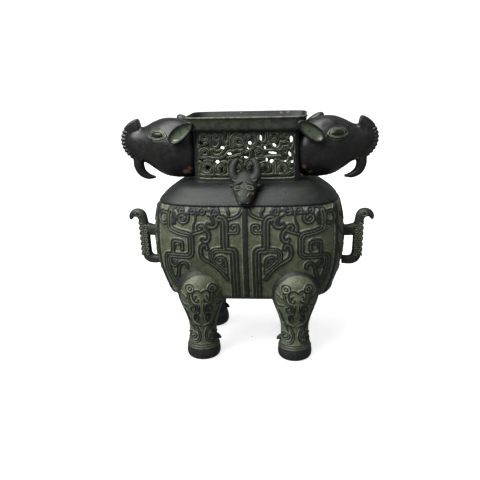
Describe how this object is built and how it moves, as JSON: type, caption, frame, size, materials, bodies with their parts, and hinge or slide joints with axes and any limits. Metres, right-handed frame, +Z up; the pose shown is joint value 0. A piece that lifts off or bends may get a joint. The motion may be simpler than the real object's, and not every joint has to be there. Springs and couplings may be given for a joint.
{
  "type": "bronze ding vessel",
  "caption": "Hollow bronze ding with a relief belly, pierced scrollwork neck, masked animal legs, beast heads at both ends and bird-shaped handles.",
  "frame": {"origin": "on the ground under the middle of the vessel, between the feet", "axes": "+Z up, -Y towards the front face, +X towards the right-hand animal head"},
  "size_m": [0.3158, 0.157, 0.295],
  "materials": {
    "patinated_bronze": "dark brown-black bronze with green patina in the recesses of its relief",
    "dark_bronze": "smooth satin charcoal-brown bronze, worn lighter on the high points"
  },
  "bodies": {
    "root": {"vessel": "patinated_bronze", "right_head": "dark_bronze", "left_head": "dark_bronze", "right_handle": "patinated_bronze", "left_handle": "patinated_bronze", "front_ox_head": "dark_bronze", "back_ox_head": "dark_bronze"}
  },
  "joints": []
}
